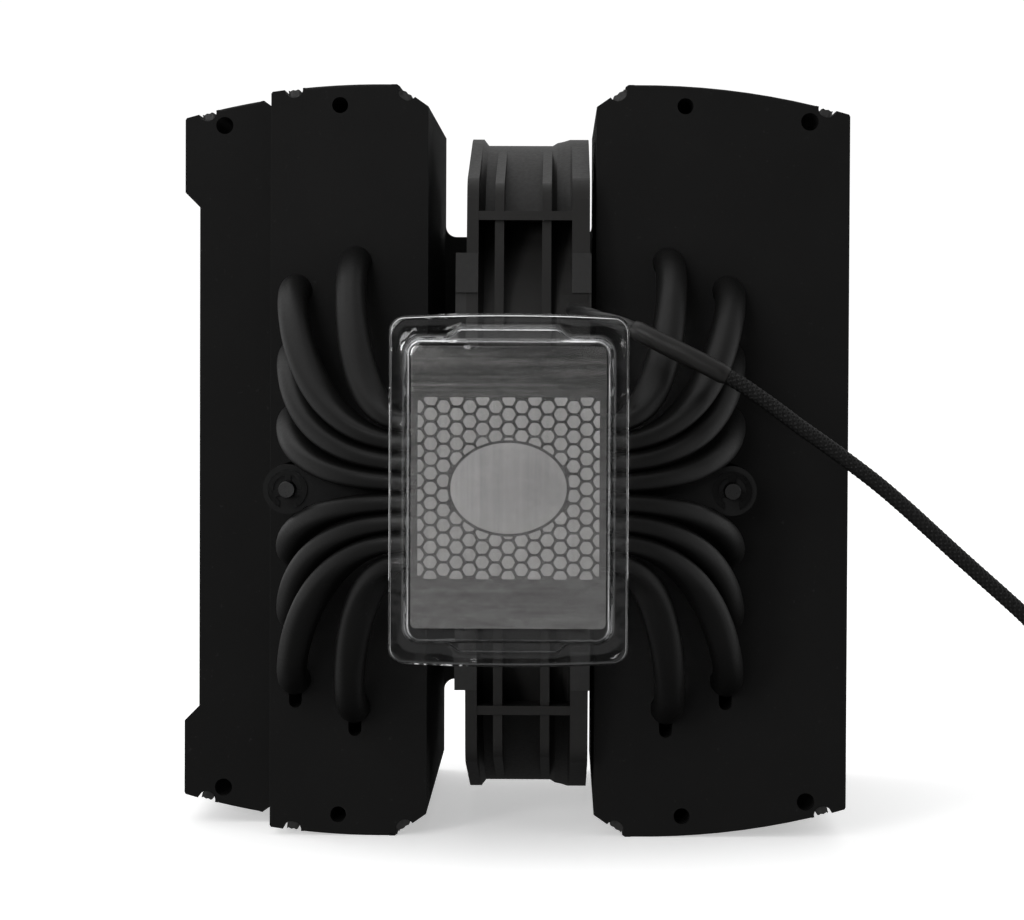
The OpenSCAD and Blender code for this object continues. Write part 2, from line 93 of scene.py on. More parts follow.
def noise(tree, scale, stretch=(1, 1, 1), detail=4, rough=0.6):
    """Noise from the object's own coordinates; scale counts cells a metre."""
    where = node(tree, "ShaderNodeTexCoord")
    mapping = node(tree, "ShaderNodeMapping", Scale=stretch)
    made = node(tree, "ShaderNodeTexNoise", Scale=scale, Detail=detail, Roughness=rough)
    tree.links.new(where.outputs["Object"], mapping.inputs["Vector"])
    tree.links.new(mapping.outputs["Vector"], made.inputs["Vector"])
    return made.outputs["Fac"]


def spread(tree, source, low, high, start=0.3, end=0.7):
    """A number that runs from low to high as source runs from start to end."""
    made = node(tree, "ShaderNodeMapRange", From_Min=start, From_Max=end)
    made.inputs["To Min"].default_value = low
    made.inputs["To Max"].default_value = high
    tree.links.new(source, made.inputs["Value"])
    return made.outputs["Result"]


def blend(tree, share, first, second):
    """A colour between two colours or sockets. The node's inputs have the same
    names for every kind of data, so they are taken by number."""
    made = node(tree, "ShaderNodeMix", data_type="RGBA")
    for socket, value in (
        (made.inputs[0], share),
        (made.inputs[6], first),
        (made.inputs[7], second),
    ):
        if isinstance(value, bpy.types.NodeSocket):
            tree.links.new(value, socket)
        else:
            socket.default_value = value if isinstance(value, float) else (*value, 1)
    return made.outputs[2]


def maths(tree, way, *values):
    """The result of a maths node on sockets."""
    made = node(tree, "ShaderNodeMath", operation=way)
    for value, socket in zip(values, made.inputs):
        tree.links.new(value, socket)
    return made.outputs[0]


DUST_CELLS = 900  # cells a metre
DUST_FROM, DUST_FULL = 0.68, 0.8  # noise at which a speck starts and is full
DUST_GREY = (0.3, 0.3, 0.3)


def surface(
    name,
    colour,
    rough,
    metal=0.0,
    tone=0.18,
    cloud=45,
    grain=2500,
    stretch=(1, 1, 1),
    bump=0.1,
    height=0.03,
    uneven=0.06,
    dust=0.0,
    coat=0.0,
    specular=0.5,
):
    """A surface whose colour drifts by tone over its clouds. Its grain, height
    millimetres deep, makes the roughness uneven. cloud and grain count cells a
    metre, and dust is the strength of its specks."""
    made = bpy.data.materials.new(name)
    made.use_nodes = True
    tree = made.node_tree
    shader = tree.nodes["Principled BSDF"]
    shader.inputs["Metallic"].default_value = metal
    shader.inputs["Coat Weight"].default_value = coat
    shader.inputs["Specular IOR Level"].default_value = specular
    fine = noise(tree, grain, stretch)
    share = spread(tree, noise(tree, cloud, stretch), 0.0, 1.0)
    paint = blend(
        tree,
        share,
        [c * (1 - tone) for c in colour],
        [c * (1 + tone) for c in colour],
    )
    if dust:
        specks = noise(tree, DUST_CELLS, detail=2)
        motes = spread(tree, specks, 0.0, dust, DUST_FROM, DUST_FULL)
        paint = blend(tree, motes, paint, DUST_GREY)
    tree.links.new(paint, shader.inputs["Base Color"])
    tree.links.new(
        spread(tree, fine, rough - uneven, rough + uneven), shader.inputs["Roughness"]
    )
    relief = node(tree, "ShaderNodeBump", Strength=bump, Distance=height * MM)
    tree.links.new(fine, relief.inputs["Height"])
    tree.links.new(relief.outputs["Normal"], shader.inputs["Normal"])
    return made


SHEET_IOR = 1.5
SHEET_CLEAR = (0.97, 0.975, 0.98, 1)
SHEET_SHADE = (0.9, 0.9, 0.9, 1)  # light that passes to what is behind
SHEET_ROUGH = (0.03, 0.09)
SHEET_WAVES = 90  # cells a metre


def clear_plastic(name):
    """Clear sheet with faint waves, which lets lamps through."""
    made = bpy.data.materials.new(name)
    made.use_nodes = True
    tree = made.node_tree
    shader = tree.nodes["Principled BSDF"]
    shader.inputs["Transmission Weight"].default_value = 1
    shader.inputs["IOR"].default_value = SHEET_IOR
    shader.inputs["Base Color"].default_value = SHEET_CLEAR
    waves = noise(tree, SHEET_WAVES, detail=3)
    tree.links.new(spread(tree, waves, *SHEET_ROUGH), shader.inputs["Roughness"])
    relief = node(tree, "ShaderNodeBump", Strength=0.5, Distance=0.5 * MM)
    tree.links.new(waves, relief.inputs["Height"])
    tree.links.new(relief.outputs["Normal"], shader.inputs["Normal"])
    path = node(tree, "ShaderNodeLightPath")
    open_way = node(tree, "ShaderNodeBsdfTransparent", Color=SHEET_SHADE)
    either = node(tree, "ShaderNodeMixShader")
    tree.links.new(path.outputs["Is Shadow Ray"], either.inputs["Fac"])
    tree.links.new(shader.outputs[0], either.inputs[1])
    tree.links.new(open_way.outputs[0], either.inputs[2])
    tree.links.new(either.outputs[0], tree.nodes["Material Output"].inputs["Surface"])
    return made


def grey(value, warm=0.0):
    """A grey, redder by warm."""
    return (value * (1 + warm), value, value * (1 - warm))


ALONG_H = (1, 1, 0.03)  # stretches a grain up the picture
FINISHES = {
    "fin": surface(
        "fin_coat", grey(0.0036, 0.02), 0.5, grain=3500, bump=0.15, dust=0.04,
        specular=0.24,
    ),
    # Lighter, patchy colour of the fins' folded tabs: a painted highlight for the glints
    # they catch
    "hook": surface(
        "painted_glint_tabs", grey(0.017, 0.02), 0.45, tone=0.5, cloud=900, grain=2500, bump=0.5,
        height=0.06,
    ),
    "pipe": surface(
        "pipe_coat", grey(0.0038, 0.02), 0.45, grain=1800, bump=0.25, cloud=120,
        specular=0.28,
    ),
    "cover": surface("cover_coat", grey(0.012), 0.42, grain=2600, bump=0.25, dust=0.1),
    "bar": surface("bar_coat", grey(0.0045), 0.4, grain=1500, bump=0.2, specular=0.3),
    "block": surface("block_metal", grey(0.35), 0.3, 1, stretch=(0.03, 1, 1)),
    "plated": surface(
        "plated_copper", grey(0.47, 0.02), 0.13, 1, tone=0.06, grain=1600,
        stretch=(0.02, 1, 1), bump=0.12, height=0.01, uneven=0.04,
    ),
    "paste": surface(
        "printed_paste", grey(0.18, 0.025), 0.6, tone=0.1, cloud=1200, grain=1800,
        stretch=ALONG_H, bump=0.5, height=0.04, specular=0.25,
    ),
    "steel": surface("screw_steel", grey(0.07), 0.32, 1, grain=2500, bump=0.2),
    "spring_steel": surface("spring_steel", grey(0.3), 0.28, 1, grain=4000),
    "clip_steel": surface("clip_steel", grey(0.03), 0.2, 1, grain=2500, bump=0.2),
    "fan_plastic": surface(
        "fan_plastic", grey(0.016, 0.03), 0.55, grain=1400, bump=0.22, height=0.04,
        specular=0.22,
    ),
    "pad_rubber": surface("pad_rubber", grey(0.014, 0.02), 0.62, grain=900, bump=0.3),
    "rotor_plastic": surface("rotor_plastic", grey(0.02), 0.42, grain=1400, bump=0.2),
    "yoke_steel": surface("yoke_steel", grey(0.35), 0.35, 1, grain=1800, bump=0.2),
    "magnet": surface("magnet_ferrite", grey(0.05), 0.6, grain=1800, bump=0.3),
    "bearing_brass": surface("bearing_brass", (0.6, 0.42, 0.16), 0.3, 1),
    "copper_wire": surface(
        "copper_wire", (0.62, 0.25, 0.1), 0.3, 1, grain=2500, stretch=(0.1, 1, 1)
    ),
    "board": surface("board_lacquer", (0.01, 0.07, 0.03), 0.35, grain=1200, coat=0.5),
    "label": surface("plain_label", grey(0.05), 0.4, metal=0.6, stretch=ALONG_H),
    "braid": surface(
        "braided_yarn", grey(0.003, 0.02), 0.38, tone=0.35, cloud=700, grain=6000,
        bump=0.4, specular=0.3,
    ),
    "lead": surface("lead_plastic", grey(0.014), 0.35, grain=1500),
    "shrink": surface("heat_shrink", grey(0.007, 0.06), 0.42, grain=700, bump=0.35),
    "plug_plastic": surface("plug_plastic", grey(0.018), 0.45, grain=1500, bump=0.2),
    "clear": clear_plastic("clear_sheet"),
}


# ------------------------------------------------------------------ mesh tools


def make(name, points, faces, finish, body="cooler", slot=None, turn=35):
    """A mesh piece from points in millimetres, smooth up to turn degrees."""
    mesh = bpy.data.meshes.new(name)
    mesh.from_pydata([at(*p) for p in points], [], faces)
    mesh.validate()
    mesh.shade_smooth()
    mesh.set_sharp_from_angle(angle=math.radians(turn))
    mesh.materials.append(FINISHES[finish])
    obj = bpy.data.objects.new(name, mesh)
    scene.collection.objects.link(obj)
    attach(obj, body)
    slot or finish
    return obj


def loft(rings, closed=True):
    """Points and faces of a tube through rings of equal length; closed puts a
    face on each end."""
    n = len(rings[0])
    points = [p for ring in rings for p in ring]
    faces = [
        (a, b, b + n, a + n)
        for j in range(len(rings) - 1)
        for k in range(n)
        for a, b in [(j * n + k, j * n + (k + 1) % n)]
    ]
    if closed:
        faces.append(tuple(range(n - 1, -1, -1)))
        faces.append(tuple(range((len(rings) - 1) * n, len(rings) * n)))
    return points, faces


def join(points, faces, made):
    """Adds the points and faces of another mesh to these."""
    base = len(points)
    points.extend(made[0])
    faces.extend(tuple(base + i for i in face) for face in made[1])


def along(points, step):
    """Points step apart on a Catmull-Rom curve through the given points."""
    p = [Vector(q) for q in points]
    p = [2 * p[0] - p[1], *p, 2 * p[-1] - p[-2]]
    line = []
    for a, b, c, e in zip(p, p[1:], p[2:], p[3:]):
        parts = max(2, math.ceil((c - b).length / step * 2))
        for k in range(parts):
            t = k / parts
            line.append(
                0.5
                * (
                    2 * b
                    + (c - a) * t
                    + (2 * a - 5 * b + 4 * c - e) * t * t
                    + (3 * b - a - 3 * c + e) * t**3
                )
            )
    line.append(p[-2])
    out, gone = [line[0]], 0.0
    for a, b in zip(line, line[1:]):
        long = (b - a).length
        while gone + long >= step:
            a = a + (b - a) * ((step - gone) / long)
            out.append(a)
            long = (b - a).length
            gone = 0.0
        gone += long
    if (out[-1] - line[-1]).length > step / 2:
        out.append(line[-1])
    else:
        out[-1] = line[-1]
    return out


def tube(line, radius, sides):
    """A tube round a line. radius(s, turn) gives its size s millimetres along,
    at that angle round it."""
    side = Vector((0, 0, 1))
    rings, s = [], 0.0
    for k, centre in enumerate(line):
        ahead = (line[min(k + 1, len(line) - 1)] - line[max(k - 1, 0)]).normalized()
        side = (side - side.dot(ahead) * ahead).normalized()
        other = ahead.cross(side)
        rings.append(
            [
                centre + radius(s, a) * (math.cos(a) * side + math.sin(a) * other)
                for a in (2 * math.pi * q / sides for q in range(sides))
            ]
        )
        if k + 1 < len(line):
            s += (line[k + 1] - centre).length
    return loft(rings)


def length_of(line):
    return sum((b - a).length for a, b in zip(line, line[1:]))


def doubled_area(shape):
    """Twice the area of a flat outline, negative when it runs clockwise."""
    return sum(a.cross(b) for a, b in zip(shape, shape[1:] + shape[:1]))


def ease(a, b, t):
    """Rises smoothly from 0 to 1 as t runs from a to b."""
    t = min(1, max(0, (t - a) / (b - a)))
    return t * t * (3 - 2 * t)


def bevel(obj, width, angle, segments):
    """Rounds a piece's corners that are sharper than angle degrees."""
    edge = obj.modifiers.new("edge", "BEVEL")
    edge.width = width * MM
    edge.segments = segments
    edge.limit_method = "ANGLE"
    edge.angle_limit = math.radians(angle)
    return edge


# ------------------------------------------------------------------ camera

SENSOR_W, LENS = 36, 137.8  # millimetres
CAMERA_AT = (0.00965, -0.82, 0.0988)  # metres
CAMERA_LEFT, CAMERA_DOWN, CAMERA_ROLL = 0.698, 1.733, 0.24  # degrees


def add_camera():
    """The photograph's view: a long lens, a little above the middle."""
    data = bpy.data.cameras.new("camera")
    data.sensor_width, data.lens = SENSOR_W, LENS
    camera = bpy.data.objects.new("camera", data)
    scene.collection.objects.link(camera)
    turn = (
        Matrix.Rotation(math.radians(CAMERA_LEFT), 4, "Z")
        @ Matrix.Rotation(math.radians(90 - CAMERA_DOWN), 4, "X")
        @ Matrix.Rotation(math.radians(CAMERA_ROLL), 4, "Z")
    )
    camera.matrix_world = Matrix.Translation(CAMERA_AT) @ turn
    scene.camera = camera


add_camera()


# ------------------------------------------------------------------ cable

# The cable's route from the fan to its plug, which the CAD part shares: bare
# leads, shrink sleeve, run to the coil, and the tail after the coil
LEAD = [(12, 30.5, 30), (12.2, 28, 30), (13, 25, 29.8), (14.8, 21, 29.3),
        (17.4, 17, 28.5), (20.6, 14, 27.6)]
SHRINK = [(23.6, 12, 26.5), (27, 10.8, 24.7), (32, 9.8, 22.2), (37, 9.2, 19.8),
          (41.5, 9, 17.4)]
RUN = [(45, 8.7, 15.3), (50, 8.3, 11.8), (55.4, 8, 7.8), (60, 8, 4.6), (65, 8, 1),
       (70, 8, -2.8), (75, 8, -7), (80, 8, -11.5), (84.5, 8, -15.6), (89, 8, -19.6),
       (94, 8, -24), (98.5, 8, -28.1), (103, 8.3, -32.8), (107, 8.9, -38),
       (110.5, 9.7, -44), (113.4, 10.6, -49.6), (116.2, 11.4, -55),
       (119.4, 12.2, -59.8), (123.2, 13.2, -63.5), (127.4, 14.8, -65.5),
       (131.4, 16.4, -66.1)]
TAIL = [(138.6, 44.8, -73.3), (137.8, 48.5, -73.3), (138.8, 52.3, -73),
        (141, 55.5, -72.8)]
COIL_MIDDLE = (126, 32.4)
COIL_R = 17
COIL_TURNS = 2.25
COIL_START = -58  # degrees, where the run meets the coil
COIL_TOP = -66.1
COIL_DROP = 7.2
CABLE_D = 3
LEADS_R = 1.33  # round the four bare leads
LEADS_TWIST = 0.35  # radians a millimetre
STRANDS = 8  # yarns of the braid in each direction
YARN_SUNK, YARN_H = 0.13, 0.18  # how the braid waves about the cable's surface
CROSSING = 0.4  # how far one yarn dips where it passes below another
BRAID_HIDDEN = 6  # the braid's start, inside the shrink sleeve
BRAID_STEP = 0.2  # spacing of the cable's rings
BRAID_SIDES = 48
SLEEVE_END_R = 1.62
SLEEVE_SWELL = 0.3  # over the hidden joint between its ends
SLEEVE_TAPER = 1.2
SLEEVE_STEP = 0.5
WRINKLE_H = 0.035


def coil():
    """The coil's turns, each a diameter below the one before."""
    steps = round(COIL_TURNS * 16)
    return [
        (
            COIL_MIDDLE[0] + COIL_R * math.cos(a),
            COIL_MIDDLE[1] + COIL_R * math.sin(a),
            COIL_TOP - COIL_DROP * k / steps,
        )
        for k in range(steps + 1)
        for a in [math.radians(COIL_START + 360 * COIL_TURNS * k / steps)]
    ]


def weave(s, a):
    """Radius of the braid, whose yarns run both ways round the cable."""
    reach = STRANDS / (CABLE_D / 2) * s
    one, two = math.cos(STRANDS * a + reach), math.cos(STRANDS * a - reach)
    over = CROSSING * math.sin(STRANDS * a) * math.sin(reach)
    return CABLE_D / 2 - YARN_SUNK + YARN_H * max(one + over, two - over)


def add_cable():
    """The cable with bare leads and braid in one, and its shrink sleeve."""
    line = along(LEAD + SHRINK + RUN + coil() + TAIL, BRAID_STEP)
    lead_end = length_of(along(LEAD + SHRINK[:1], BRAID_STEP))
    braid_start = lead_end + BRAID_HIDDEN

    def radius(s, a):
        lobes = LEADS_R * (0.8 + 0.2 * abs(math.cos(2 * a + LEADS_TWIST * s)))
        share = ease(braid_start - 1, braid_start, s)
        return lobes + (weave(s, a) - lobes) * share

    cable = make("fan_cable_braid", *tube(line, radius, BRAID_SIDES), "braid", turn=180)
    cable.data.materials.append(FINISHES["lead"])
    bare = round(lead_end / BRAID_STEP) * BRAID_SIDES
    for face in cable.data.polygons:
        if max(face.vertices) < bare:
            face.material_index = 1
    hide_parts("fan_lead", "fan_cable", "cable_coil", "cable_tail")

    wrap = along(SHRINK, SLEEVE_STEP)
    long = length_of(wrap)
    rng = random.Random(4)
    ripple = [(rng.uniform(0.3, 0.9), rng.uniform(0, 6), rng.uniform(0, 6))
              for _ in range(3)]

    def wrapped(s, a):
        ends = ease(0, SLEEVE_TAPER, s) * ease(0, SLEEVE_TAPER, long - s)
        creases = sum(math.sin(f * s + p) * math.cos(2 * a + q) for f, p, q in ripple)
        return SLEEVE_END_R + (SLEEVE_SWELL + WRINKLE_H * creases) * ends

    sleeve = make("heat_shrink_sleeve", *tube(wrap, wrapped, 28), "shrink", turn=60)
    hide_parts("heat_shrink")
    at(*LEAD[0])
    length_of(line) * MM
    [at(*p) for p in line]


add_cable()


# ------------------------------------------------------------------ heat pipes

PIPE_R = 3
PIPE_PITCH = 3.8  # between the pipes in the base
PIPE_DEPTH = 8
PIPE_END = 163
PIPE_TIP = [(1, 3), (0.3, 2.7), (0, 1.8)]  # way from the end, and radius there
# Holes of the upper four pipes in the fins, as x and height over the base's
# centre, and how far each pipe runs out sideways before it turns
UPPER_HOLES = [(31, 44.4), (42.9, 38.8), (42.9, 26.1), (42.9, 13.2)]
UPPER_OUT = [12, 21, 22, 23]
PIPE_HOLES = UPPER_HOLES + [(x, -h) for x, h in reversed(UPPER_HOLES)]
PIPE_OUT = UPPER_OUT + UPPER_OUT[::-1]
BEND_X = 19.5
BEND_END = 15  # how long before the first fin a pipe runs nearly straight
BEND_LEAN = 1.2
FLAT_DEEP, FLAT_HIGH = 3.8, 1.8  # half sizes of a pipe pressed flat in the base
FLAT_POWER = 2.9  # of that section's superellipse, where 2 is round
SECTION = 32  # points round a pipe
BEND_STEPS = 36


def section(centre, ahead, deep, high, power):
    """A superellipse square to ahead, as deep and as high as said."""
    up = (Vector((0, 0, 1)) - ahead.z * ahead).normalized()
    across = ahead.cross(up)

    def bowed(v):
        return math.copysign(abs(v) ** (2 / power), v)

    return [
        centre
        + deep * bowed(math.cos(a)) * across
        + high * bowed(math.sin(a)) * up
        for a in (2 * math.pi * k / SECTION for k in range(SECTION))
    ]


def bend(i):
    """Sections of pipe i on a Bezier curve from the base's edge to the first
    fin, while it turns from flat to round."""
    x, h = PIPE_HOLES[i]
    base = BASE_H + (3.5 - i) * PIPE_PITCH
    p = [Vector(q) for q in (
        (BEND_X, PIPE_DEPTH, base),
        (BEND_X + PIPE_OUT[i], PIPE_DEPTH, base),
        (x + BEND_LEAN, FIRST_FIN - BEND_END, BASE_H + h),
        (x, FIRST_FIN - 1, BASE_H + h),
    )]
    rings = []
    for k in range(BEND_STEPS + 1):
        t = k / BEND_STEPS
        u = 1 - t
        centre = u**3 * p[0] + 3 * u * u * t * p[1] + 3 * u * t * t * p[2] + t**3 * p[3]
        ahead = (
            u * u * (p[1] - p[0]) + 2 * u * t * (p[2] - p[1]) + t * t * (p[3] - p[2])
        ).normalized()
        rounded = min(1, 1.45 * t)
        rings.append((
            centre, ahead,
            FLAT_DEEP + (PIPE_R - FLAT_DEEP) * rounded,
            FLAT_HIGH + (PIPE_R - FLAT_HIGH) * rounded,
            FLAT_POWER + (2 - FLAT_POWER) * ease(0, 0.6, t),
        ))
    return rings


def mirrored(v):
    return Vector((-v.x, v.y, v.z))


def add_pipes():
    """Each pipe from its left end through the base to its right end."""
    for i, (x, h) in enumerate(PIPE_HOLES):
        half = bend(i)
        rings = [
            section(mirrored(c), -mirrored(v), deep, high, power)
            for c, v, deep, high, power in reversed(half)
        ] + [section(*ring) for ring in half]
        for sign, spot in ((-1, 0), (1, len(rings))):
            for before, r in PIPE_TIP:
                end = Vector((sign * x, PIPE_END - before, BASE_H + h))
                ring = section(end, Vector((0, sign, 0)), r, r, 2)
                rings.insert(0 if sign < 0 else len(rings), ring)
        pipe = make(f"bent_pipe_{i + 1}", *loft(rings), "pipe", turn=50)
        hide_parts(f"heat_pipe_{i + 1}")


add_pipes()


# ------------------------------------------------------------------ fins

# Places u along a fin are measured from its inner edge; with a minus, they are
# measured from its outer edge
FIN_W = 50.3
CUT_FIN_W = 31.3
FIN_COUNT = 52
CUT_COUNT = 9
INNER_H = 70.5
CHAMFER_W = 6.3
ARC_START = 9.3
ARC_R = 148
CORNER = 0.25
BITE_R = 1.8  # half-round cuts where the fins hook into each other
BITES = (4.2, -4.5)
FOLD = 0.45  # inset of the plate where its side flange is folded
FOLD_START, FOLD_END = 7.4, -6.8
GAP_START, GAP_END = -20.6, -15.4  # where a recessed fin has no flange
NOTCH, NOTCH_R = -18, 2
RECESS, RECESS_H = 3, 54  # of the outer edge of a recessed fin
DRIVER_HOLE_R = 4.7
INNER_HOLES = (17.6, 70.7, 1.6)  # place, height and radius of a pair
OUTER_HOLES = (42.3, 67.7, 1.75)
# The flange's section: how far it is inside the edge, and its depth
FLANGE = [(0.55, 0), (0.25, 0.05), (0.08, 0.2), (0, 0.5), (0, FIN_PITCH - 0.08),
          (0.4, FIN_PITCH - 0.08), (0.4, 0.42), (0.55, 0.4)]
# A worn tab in a half-round cut: places across it, and how far it is torn there
TAB_WEAR = [(-1.15, 0.2), (-0.8, 0), (-0.3, 0.15), (0.2, 0), (0.8, 0.2), (1.1, 0)]
TAB_REACH = 0.95  # share of the cut's depth at which the tab is rooted


def edge_h(u):
    """Height of a fin's side edge."""
    if u < CHAMFER_W:
        return INNER_H + (HALF_H - INNER_H) * u / CHAMFER_W
    if u < ARC_START:
        return HALF_H
    return HALF_H - ARC_R + math.sqrt(ARC_R**2 - (u - ARC_START) ** 2)


def edge_frame(u):
    """A point of the side edge, the way along it and the way into the fin."""
    here = Vector((u, edge_h(u)))
    ahead = (Vector((u + 0.2, edge_h(u + 0.2))) - here).normalized()
    return here, ahead, Vector((ahead.y, -ahead.x))


def folds(w, recessed):
    """Stretches of the side edge that carry a folded flange."""
    if recessed:
        return [(FOLD_START, w + GAP_START), (w + GAP_END, w + FOLD_END)]
    return [(FOLD_START, w + FOLD_END)]


def side_edge(w, recessed):
    """The side edge of a fin with its cuts, from the inner corner outwards."""
    marks = [(0, [Vector((0, INNER_H))]), (CHAMFER_W, [Vector((CHAMFER_W, HALF_H))])]
    for u in BITES:
        u = u if u > 0 else w + u
        here, ahead, into = edge_frame(u)
        arc = [
            here - BITE_R * math.cos(a) * ahead + BITE_R * math.sin(a) * into
            for a in (math.pi * k / 10 for k in range(11))
        ]
        marks.append((u, arc))
    for start, end in folds(w, recessed):
        for u in [start + (end - start) * k / 8 for k in range(9)]:
            here, _, into = edge_frame(u)
            ends = [here] if u == start else []
            inset = [here + FOLD * into]
            marks.append((u, ends + inset + ([here] if u == end else [])))
    if recessed:
        here, ahead, into = edge_frame(w + NOTCH)
        notch = [here + NOTCH_R * way for way in (-ahead, into, ahead)]
        marks.append((w + NOTCH, notch))
    marks.append((w - CORNER, [Vector((w - CORNER, edge_h(w - CORNER)))]))
    marks.append((w, [Vector((w, edge_h(w) - 1.4 * CORNER))]))
    return [p for _, spots in sorted(marks, key=lambda m: m[0]) for p in spots]


def circle(u, h, r, n=24):
    return [
        Vector((u + r * math.cos(a), h + r * math.sin(a)))
        for a in (2 * math.pi * k / n for k in range(n))
    ]


def pipe_hole(u, h, r=3.05, slot=1.3, reach=4.5):
    """A pipe's hole with the solder notch below it."""
    low = math.asin(slot / r)
    start, end = -math.pi / 2 + low, 1.5 * math.pi - low
    arc = [start + (end - start) * k / 24 for k in range(25)]
    foot = [math.pi * (1 + k / 8) for k in range(9)]
    return [Vector((u + r * math.cos(a), h + r * math.sin(a))) for a in arc] + [
        Vector((u + slot * math.cos(a), h - reach + slot * math.sin(a))) for a in foot
    ]


def fin_shape(w, recessed):
    """A fin's outline and its holes, as [u, h]."""
    top = side_edge(w, recessed)
    outer = []
    if recessed:
        inset, high = w - RECESS, RECESS_H - RECESS
        outer = [
            Vector(p)
            for p in ((w, RECESS_H), (inset, high), (inset, -high), (w, -RECESS_H))
        ]
    outline = top + outer + [Vector((p.x, -p.y)) for p in reversed(top)]
    holes = [pipe_hole(x - STACK_X, BASE_H + h) for x, h in PIPE_HOLES]
    holes.append(circle(SCREW_X - STACK_X, BASE_H, DRIVER_HOLE_R, 32))
    for s in (-1, 1):
        for u, h, r in (INNER_HOLES, OUTER_HOLES):
            if u < w:
                holes.append(circle(u, s * h, r))
    return [outline, *holes]


def plate(loops):
    """Points [u, depth, h] and faces of a flat plate with holes."""
    flat = [p for loop in loops for p in loop]
    n = len(flat)
    points = [(p.x, d, p.y) for d in (0, FIN_T) for p in flat]
    faces = []
    for a, b, c in tessellate_polygon([[p.to_3d() for p in loop] for loop in loops]):
        turn = (flat[b] - flat[a]).cross(flat[c] - flat[a])
        if turn < 0:
            a, c = c, a
        faces += [(a, b, c), (c + n, b + n, a + n)]
    start = 0
    for loop in loops:
        long = len(loop)
        turned = (doubled_area(loop) > 0) != (loop is loops[0])
        for k in range(long):
            a, b = start + k, start + (k + 1) % long
            if turned:
                a, b = b, a
            faces.append((b, a, a + n, b + n))
        start += long
    return points, faces


def strips(sections):
    """The same strip on both side edges. Sections are places along the edge,
    each with its outline as [way into the fin, depth]."""
    for s in (1, -1):
        rings = []
        for u, outline in sections if s < 0 else reversed(sections):
            here, _, into = edge_frame(u)
            rings.append([
                (here.x + q * into.x, d, s * (here.y + q * into.y)) for q, d in outline
            ])
        yield loft(rings)


def worn_tab(u):
    """Sections of the tab in the half-round cut at u."""
    sections = []
    for off, torn in TAB_WEAR:
        root = TAB_REACH * math.sqrt(BITE_R**2 - off**2)
        tip = 0.15 + torn
        outline = [(root, 0.08), (tip, 0.3 + torn), (tip, 0.6 + torn), (root, 0.4)]
        sections.append((u + off, outline))
    return sections


def fin_mesh(w, recessed):
    """Points and faces of one fin, and the number of its first tab face."""
    points, faces = plate(fin_shape(w, recessed))
    for start, end in folds(w, recessed):
        for strip in strips([(start + (end - start) * k / 8, FLANGE) for k in range(9)]):
            join(points, faces, strip)
    first_tab = len(faces)
    for u in BITES:
        for strip in strips(worn_tab(u if u > 0 else w + u)):
            join(points, faces, strip)
    return points, faces, first_tab


def add_stack(name, w, first, last, side, recessed, cad_node):
    """Fins first to last of a stack; side is 1 on the right and -1 on the left."""
    points, faces, first_tab = fin_mesh(w, recessed)
    if side < 0:
        faces = [tuple(reversed(face)) for face in faces]
    n = len(points)
    depths = [FIRST_FIN + k * FIN_PITCH for k in range(first, last + 1)]
    stack = make(
        name,
        [(side * (STACK_X + u), start + d, h) for start in depths for u, d, h in points],
        [tuple(i + k * n for i in face) for k in range(len(depths)) for face in faces],
        "fin",
        turn=30,
    )
    stack.data.materials.append(FINISHES["hook"])
    for k, face in enumerate(stack.data.polygons):
        face.material_index = int(k % len(faces) >= first_tab)
    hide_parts(cad_node)
    return stack


cut_fins = add_stack("cut_fins", CUT_FIN_W, 0, CUT_COUNT - 1, -1, False, "left_cut_fins")
# The cut fins' bevelled edges take the tabs' lighter finish: a painted highlight along
# the edges that catch the light
bevel(cut_fins, 0.18, angle=60, segments=1).material = 1
add_stack("full_fins", FIN_W, CUT_COUNT, FIN_COUNT - 1, -1, True, "left_fins")
add_stack("far_fins", FIN_W, 0, FIN_COUNT - 1, 1, False, "right_fins")


# ------------------------------------------------------------------ thermal paste

PASTE_HALF = 17.2
PASTE_H = BASE_H + 0.95  # the print's centre
PASTE_FRONT, PASTE_BACK = 2.38, 2.5
PASTE_ROUNDING = (0.07, 0.04)  # of a cell's front edge, inwards and in depth
CELL_COLUMN = 2.46
CELL_ROW = 2.8
CELLS = range(-7, 8)  # columns and rows that reach past the print's edges
CELL_R = (1.29, 1.17)  # from a cell's centre to its corners and its sides
CELL_UNEVEN = (-0.035, 0.03)
CELL_LEAST = 0.8  # twice the area of the smallest piece of a cell
PATCH = (11, 8.6)  # half axes of the plain patch in the middle
PATCH_RIM = 0.5


def clipped(shape, point, away):
    """The part of a convex shape on the side of point that away points to."""
    out = []
    for a, b in zip(shape, shape[1:] + shape[:1]):
        near, far = (a - point).dot(away), (b - point).dot(away)
        if near >= 0:
            out.append(a)
        if near * far < 0:
            out.append(a.lerp(b, near / (near - far)))
    return out


def paste_cells():
    """Outlines of the honeycomb's cells and of the plain patch."""
    rng = random.Random(7)
    for k in CELLS:
        for row in CELLS:
            middle = Vector((k * CELL_COLUMN, (row + 0.5 * (k % 2)) * CELL_ROW))
            cell = [
                middle
                + (CELL_R[q % 2] + rng.uniform(*CELL_UNEVEN))
                * Vector((math.cos(math.pi * q / 6), math.sin(math.pi * q / 6)))
                for q in range(12)
            ]
            for way in map(Vector, ((1, 0), (-1, 0), (0, 1), (0, -1))):
                cell = clipped(cell, way * PASTE_HALF, -way)
            wide, high = PATCH[0] + PATCH_RIM, PATCH[1] + PATCH_RIM
            out = Vector((middle.x / wide, middle.y / high))
            if out.length < 1e-3:
                continue  # the middle cell is under the patch
            spot = Vector((out.x * wide, out.y * high)) / out.length
            away = Vector((spot.x / wide**2, spot.y / high**2)).normalized()
            cell = clipped(cell, spot, away)
            if len(cell) > 2 and doubled_area(cell) > CELL_LEAST:
                yield cell
    yield [
        Vector((PATCH[0] * math.cos(a), PATCH[1] * math.sin(a)))
        for a in (2 * math.pi * q / 96 for q in range(96))
    ]


